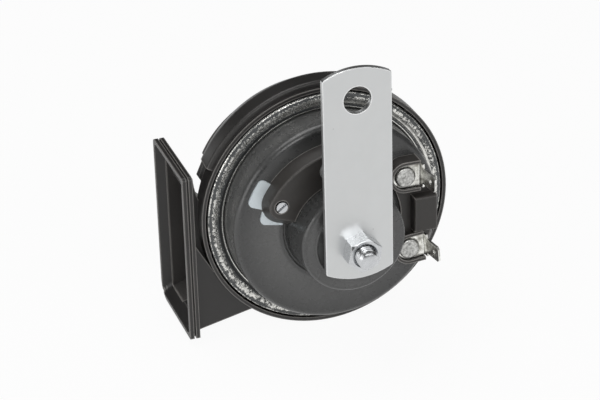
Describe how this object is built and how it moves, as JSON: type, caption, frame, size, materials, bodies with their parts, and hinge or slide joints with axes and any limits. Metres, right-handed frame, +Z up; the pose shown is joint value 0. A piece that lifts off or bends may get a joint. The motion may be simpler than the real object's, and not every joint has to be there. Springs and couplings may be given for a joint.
{
  "type": "car horn",
  "caption": "Snail horn with a steel sounder, strap bracket, blade terminals and a moulded trumpet with a rectangular mouth.",
  "frame": {"origin": "centre of the mounting hole at the bracket's front face", "axes": "Y along the horn's axis from the bracket side to the trumpet side, Z up along the bracket, and the mouth faces -X"},
  "size_m": [0.1045, 0.0855, 0.1204],
  "materials": {
    "plated_steel": "bright zinc plating with fine handling marks",
    "black_paint": "satin black paint on pressed steel",
    "worn_paint": "black paint worn to bare steel on the raised edges",
    "black_moulding": "black-brown moulded plastic, satin",
    "trumpet_moulding": "black-brown moulded plastic, matte",
    "tinned_brass": "tin plating",
    "gasket": "matte",
    "inner_steel": "plain",
    "inner_plastic": "plain",
    "copper": "enamelled wire",
    "contact_metal": "plain"
  },
  "bodies": {
    "horn": {"adjuster_cover": "black_moulding", "adjuster_pad": "inner_plastic", "adjuster_plate": "plated_steel", "adjusting_screw": "worn_paint", "bracket_nut": "plated_steel", "breaker_insulator": "inner_plastic", "breaker_spacer": "inner_plastic", "coil_bobbin": "inner_plastic", "coil_winding": "copper", "core_stud": "plated_steel", "cover_rivet": "plated_steel", "crimp_ring": "worn_paint", "diaphragm": "inner_steel", "fixed_contact": "contact_metal", "fixed_contact_carrier": "contact_metal", "front_gasket": "gasket", "housing_pan": "black_paint", "lower_rivet": "plated_steel", "mounting_bracket": "plated_steel", "moving_contact": "contact_metal", "moving_contact_spring": "contact_metal", "pole_plate": "inner_steel", "rear_gasket": "gasket", "retainer_ring": "inner_steel", "rivet_washer": "inner_plastic", "spacer_washer": "plated_steel", "terminal_block": "black_moulding", "terminal_lower": "tinned_brass", "terminal_upper": "tinned_brass", "trumpet_body": "trumpet_moulding", "trumpet_cover": "trumpet_moulding", "trumpet_seal": "gasket", "upper_rivet": "plated_steel"},
    "armature_group": {"armature": "inner_steel", "armature_washer": "inner_steel", "armature_collar": "inner_plastic"}
  },
  "joints": [
    {"name": "armature_stroke", "type": "slide", "parent": "horn", "child": "armature_group", "axis": [0, -1, 0], "range_m": [0, 0.0005], "stiffness_N_per_m": 20000, "deforming": ["diaphragm", "moving_contact_spring", "moving_contact"]}
  ]
}
